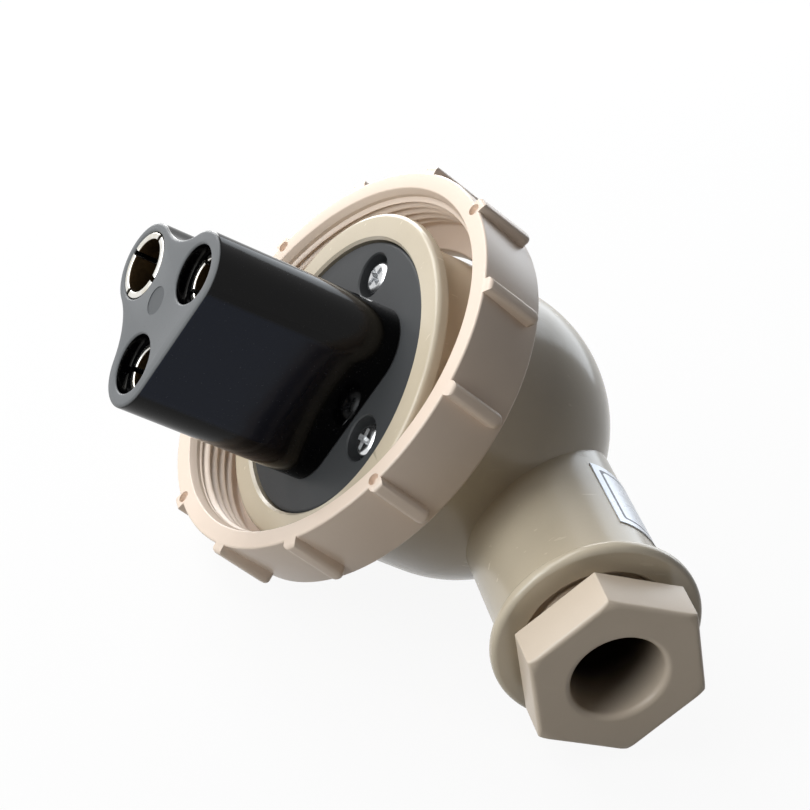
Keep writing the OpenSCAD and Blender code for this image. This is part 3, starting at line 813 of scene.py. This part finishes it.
def insulator():
    """The disc and the three-lobed barrel with their holes, and the mark in the barrel's tip."""
    levels = [(-disc_back, 0), (0.5, 0)] + rounded_top(insert_reach, tip_round)
    barrel = raised_shape("insulator_moulding", barrel_outline(), levels)
    disc_r = seat_r - disc_gap
    disc = [(0, -disc_back, 0), (disc_r, -disc_back, 0), (disc_r, -disc_recess, disc_bevel),
            (0, -disc_recess, 0)]
    combined(barrel, "UNION", [turned_shape("disc", rounded(disc))])
    head_hole_r, through_r, mouth_bevel = screw_head_r + head_gap, screw_r + hole_gap, 0.2
    back, step, front = -disc_back - cut, -disc_recess - head_hole_depth, -disc_recess + cut
    seat = [(0, back, 0), (through_r, back, 0), (through_r, step, 0), (head_hole_r, step, 0),
            (head_hole_r, -disc_recess - mouth_bevel, 0),
            (head_hole_r + mouth_bevel + cut, front, 0), (0, front, 0)]
    screw_seat = turned_shape("screw_seat", rounded(seat), steps=HOLE_STEPS)
    seats = copies("screw_seats", screw_seat, screw_count, screw_circle_r, 90)
    low, high, mark_draft = insert_reach - mark_depth, insert_reach + 0.5, 0.1
    mark = [complex(0, low), complex(mark_r, low), complex(mark_r + mark_draft, high),
            complex(0, high)]
    mark = turned_shape("mark", mark, steps=SMALL_STEPS)
    combined(barrel, "DIFFERENCE", [contact_hole(pole) for pole in POLES] + [seats, mark])
    finish_piece(barrel, ALONG_X, "insulator_plastic", "plug_body", ["insulator"])


def insert_screws():
    """Round-headed screws with a cross recess."""
    screw_tip_round, head_edge, head_dome = 0.3, 0.1, 1.3
    base = -disc_recess - head_hole_depth
    top, tip = base + screw_head_h, base - screw_len
    head = [(0, tip, 0), (screw_r, tip, screw_tip_round), (screw_r, base, 0),
            (screw_head_r, base, head_edge), (screw_head_r, top, head_dome), (0, top, 0)]
    screw = turned_shape("screw", rounded(head, 9), steps=SMALL_STEPS)
    arm, half, corner = cross_len / 2, cross_w / 2, 0.18
    cross = [(half, half), (arm, half), (arm, -half), (half, -half), (half, -arm), (-half, -arm),
             (-half, -half), (-arm, -half), (-arm, half), (-half, half), (-half, arm), (half, arm)]
    cross = list(reversed(rounded([(x, y, corner) for x, y in cross], 3)))
    recess = raised_shape("recess", cross, [(top - cross_depth, 0.12), (top + 0.3, -0.08)])
    combined(screw, "DIFFERENCE", [recess])
    screws = copies("insert_screws", screw, screw_count, screw_circle_r, 90,
                    spin=20, spin_step=35, finish=FINISHES["screw_steel"])
    nodes = [f"insert_screw_{i}" for i in range(1, screw_count + 1)]
    finish_piece(screws, ALONG_X, "screw_steel", "plug_body", nodes)


def nut_side_r(angle):
    """Radius of the hexagon's side at an angle, with its corners rounded."""
    flat, corner_cos = nut_flats / 2, math.cos(math.radians(30))
    off = abs((math.degrees(angle) - nut_turn) % 60 - 30)
    sharp = flat / math.cos(math.radians(off))
    tip = flat / corner_cos - nut_corner_round * (1 / corner_cos - 1)
    near = math.radians(30 - off)
    middle = tip - nut_corner_round
    lean = middle * math.sin(near)
    if abs(lean) >= nut_corner_round:
        return sharp
    round_r = middle * math.cos(near) + math.sqrt(nut_corner_round ** 2 - lean ** 2)
    return min(sharp, round_r)


def nut_outline(angle):
    """The nut's section at an angle: hole, front face, cut-back corner, side and threaded
    shank."""
    side = nut_side_r(angle)
    soft, slope = 0.5, math.tan(nut_corner_slope)

    def drop(radius):
        over = radius - nut_corner_r
        if over <= -soft:
            return 0.0
        if over >= soft:
            return over * slope
        return slope * (over + soft) ** 2 / (4 * soft)

    def lean(radius):
        over = min(1.0, max(0.0, (radius - nut_corner_r + soft) / (2 * soft)))
        return math.atan(slope * over)

    turn = lean(side - nut_edge)
    edge_r = side - nut_edge * (1 - math.sin(turn))
    middle = complex(side - nut_edge, nut_front - drop(edge_r) - nut_edge * math.cos(turn))
    start = math.degrees(math.pi / 2 - turn)
    hole = arc(complex(cable_r + nut_round, nut_front - nut_round), nut_round, 180, 90, 8)
    inner, count = cable_r + nut_round, 14
    face = [inner + (edge_r - inner) * k / count for k in range(1, count)]
    section = [complex(cable_r, nut_nose)] + hole + [complex(r, nut_front - drop(r)) for r in face]
    section += arc(middle, nut_edge, start, 0, 6)
    back_middle = complex(side - nut_back_edge, nut_back + nut_back_edge)
    section += arc(back_middle, nut_back_edge, 0, -90, 4)
    crest, plain_len, fade, samples = neck_inside_r - running_gap, 0.7, 0.6, 76
    section.append(complex(crest, nut_back))
    start_z = nut_back - plain_len
    for k in range(samples + 1):
        height = start_z + (nut_nose + nut_nose_cut - start_z) * k / samples
        valley = nut_thread_h * (1 - helix(height, angle)) * min(1.0, (start_z - height) / fade)
        section.append(complex(crest - valley, height))
    return section + [complex(crest - nut_thread_h - nut_nose_in, nut_nose)]


def nut_angles():
    """Angles round the nut, close together at its corners."""
    near = [0.15, 0.3, 0.45, 0.62, 0.9, 1.4, 2.2, 3.4, 5, 7.5, 10, 13, 16, 20, 25]
    offsets = [-a for a in reversed(near)] + [0] + near + [30]
    return [math.radians(nut_turn + 60 * corner + a) for corner in range(6) for a in offsets]


def gland_nut():
    """The nut, which keeps how deep each point of its hole lies, from 0 to 1, for painted shade."""
    nut = turned_shape("nut_moulding", nut_outline, steps=nut_angles())
    length, hole_r = nut_front - nut_nose, cable_r + NEAR
    deep = [(nut_front - v.co.z) / length * (math.hypot(v.co.x, v.co.y) < hole_r)
            for v in nut.data.vertices]
    keep_numbers(nut, "depth", deep)
    finish_piece(nut, ALONG_NECK, "nut_plastic", "gland_nut_body", ["gland_nut"])


def neck_label():
    """Bare foil bent round the neck, which keeps each point's distance from its edge."""
    end = neck_reach - flange_t - label_gap
    start = end - label_len
    width = math.radians(label_arc) * neck_root_r
    across, along, foil_gap = 60, 20, 0.02
    points, faces, distances = [], [], []
    for side in (0, 1):
        for i in range(across + 1):
            for j in range(along + 1):
                x, y = width * i / across, label_len * j / along
                angle = x / neck_root_r - math.radians(label_start + label_arc)
                neck_r = neck_root_r + neck_flare * (start + y) / (neck_reach - flange_t / 2)
                radius = neck_r + foil_gap + label_t * side
                points.append((radius * math.cos(angle), radius * math.sin(angle), start + y))
                distances.append(min(x, width - x, y, label_len - y))
    size, row = (across + 1) * (along + 1), along + 1
    for i in range(across):
        for j in range(along):
            for side in (0, size):
                corner = side + i * row + j
                faces.append([corner, corner + row, corner + row + 1, corner + 1])
    rim = [i * row for i in range(across)] + [across * row + j for j in range(along)]
    rim += [i * row + along for i in range(across, 0, -1)] + list(range(along, 0, -1))
    for here, after in zip(rim, rim[1:] + rim[:1]):
        faces.append([here, after, after + size, here + size])
    label = drawn("label_sheet", points, faces)
    keep_numbers(label, "edge_distance", distances)
    finish_piece(label, ALONG_NECK, "label_foil", "plug_body", ["neck_label"])


def coat_carried_pieces():
    """Coats the turned and stamped pieces whose solids are already right."""
    for name, node in frame["nodes"].items():
        node.data.materials.clear()
        node.data.materials.append(FINISHES[SLOT_OF[name]])


# Camera, light and floor

camera_aim = Vector((-10.15, 5.05, -1.49)) * MM
camera_distance = 410.2 * MM
camera_azimuth, camera_elevation, camera_roll = 157.23, 25.84, 14.35
camera_lens, sensor_w = 126.9, 36.0
lamp_distance, lamp_width, floor_reach = 0.8, 0.5, 3.0


def from_angles(azimuth, elevation):
    """The direction out to a place round the plug, as an azimuth and an elevation in degrees."""
    a, e = math.radians(azimuth), math.radians(elevation)
    return Vector((math.sin(a) * math.cos(e), -math.cos(a) * math.cos(e), math.sin(e)))


def camera():
    """The photograph's view: it looks at camera_aim and is rolled."""
    data = bpy.data.cameras.new("camera")
    data.lens, data.sensor_width = camera_lens, sensor_w
    data.clip_start, data.clip_end = 0.01, 20
    eye = bpy.data.objects.new("camera", data)
    bpy.context.scene.collection.objects.link(eye)
    out = from_angles(camera_azimuth, camera_elevation)
    upright = (-out).to_track_quat("-Z", "Y").to_matrix().to_4x4()
    eye_place = Matrix.Translation(camera_aim + out * camera_distance)
    eye.matrix_world = eye_place @ upright @ turned("Z", camera_roll)
    bpy.context.scene.camera = eye


def lamp(name, azimuth, elevation, power, tint=(1, 1, 1)):
    """A square soft box that looks at the plug."""
    data = bpy.data.lights.new(name, "AREA")
    data.shape, data.size = "SQUARE", lamp_width
    data.energy, data.color = power, tint
    piece = bpy.data.objects.new(name, data)
    bpy.context.scene.collection.objects.link(piece)
    out = from_angles(azimuth, elevation)
    piece.location = camera_aim + out * lamp_distance
    piece.rotation_mode = "QUATERNION"
    piece.rotation_quaternion = (-out).to_track_quat("-Z", "Y")


def seen(sheet):
    """1 for what the camera sees, straight or through gloss or glass."""
    rays = [sheet.node("ShaderNodeLightPath", output=name)
            for name in ("Is Camera Ray", "Is Glossy Ray", "Is Transmission Ray")]
    return rays[0].maths("MAXIMUM", rays[0], rays[1].maths("MAXIMUM", rays[1], rays[2]))


def floor():
    """A dull beige table for the light that it sends back, seen as white."""
    low = cad_box[0].z
    corners = [(x * floor_reach, y * floor_reach, low)
               for x, y in ((-1, -1), (1, -1), (1, 1), (-1, 1))]
    mesh = bpy.data.meshes.new("floor")
    mesh.from_pydata(corners, [], [(0, 1, 2, 3)])
    piece = bpy.data.objects.new("floor", mesh)
    bpy.context.scene.collection.objects.link(piece)
    sheet = Finish("floor_white", Roughness=0.9)
    grain = sheet.noise(3, detail=2)
    table = sheet.mix(grain * 0.2, colour(118, 111, 98), colour(110, 104, 93))
    sheet.set("Base Color", sheet.mix(seen(sheet), table, colour(235, 235, 235)))
    glow = sheet.node("ShaderNodeEmission", inputs={"Color": (1, 1, 1, 1), "Strength": 1.0})
    share, lit = seen(sheet) * 0.92, Wire(sheet, sheet.shader.outputs[0])
    shown = sheet.node("ShaderNodeMixShader", inputs={0: share, 1: lit, 2: glow})
    sheet.feed(sheet.tree.nodes["Material Output"].inputs["Surface"], shown)
    mesh.materials.append(sheet.material)


def world():
    """White where it is seen, straight or through gloss or glass, and a dim fill otherwise."""
    backdrop = bpy.data.worlds.new("studio")
    bpy.context.scene.world = backdrop
    backdrop.use_nodes = True
    sheet = Sheet(backdrop.node_tree)
    sheet.tree.nodes.remove(sheet.tree.nodes["Background"])
    fill = sheet.node("ShaderNodeBackground", inputs={
        "Color": (1.0, 0.97, 0.92, 1), "Strength": 0.03})
    white = sheet.node("ShaderNodeBackground", inputs={"Color": (1, 1, 1, 1), "Strength": 1.0})
    shown = sheet.node("ShaderNodeMixShader", inputs={0: seen(sheet), 1: fill, 2: white})
    sheet.feed(sheet.tree.nodes["World Output"].inputs["Surface"], shown)


camera()
world()
floor()
lamp("back", 0, 15, 5.2)
lamp("front_left", 108, 16, 3.8, (0.94, 0.98, 1.0))
lamp("top_left", 42, 41, 3.5)
lamp("left", 90, 40, 2.1)
lamp("right", 316, 18, 1.75, (0.86, 0.93, 1.0))
coat_carried_pieces()
housing_shell()
coupling_ring()
insulator()
for pole in POLES:
    contact(pole)
insert_screws()
gland_nut()
neck_label()

bpy.context.scene.view_settings.view_transform = "Standard"
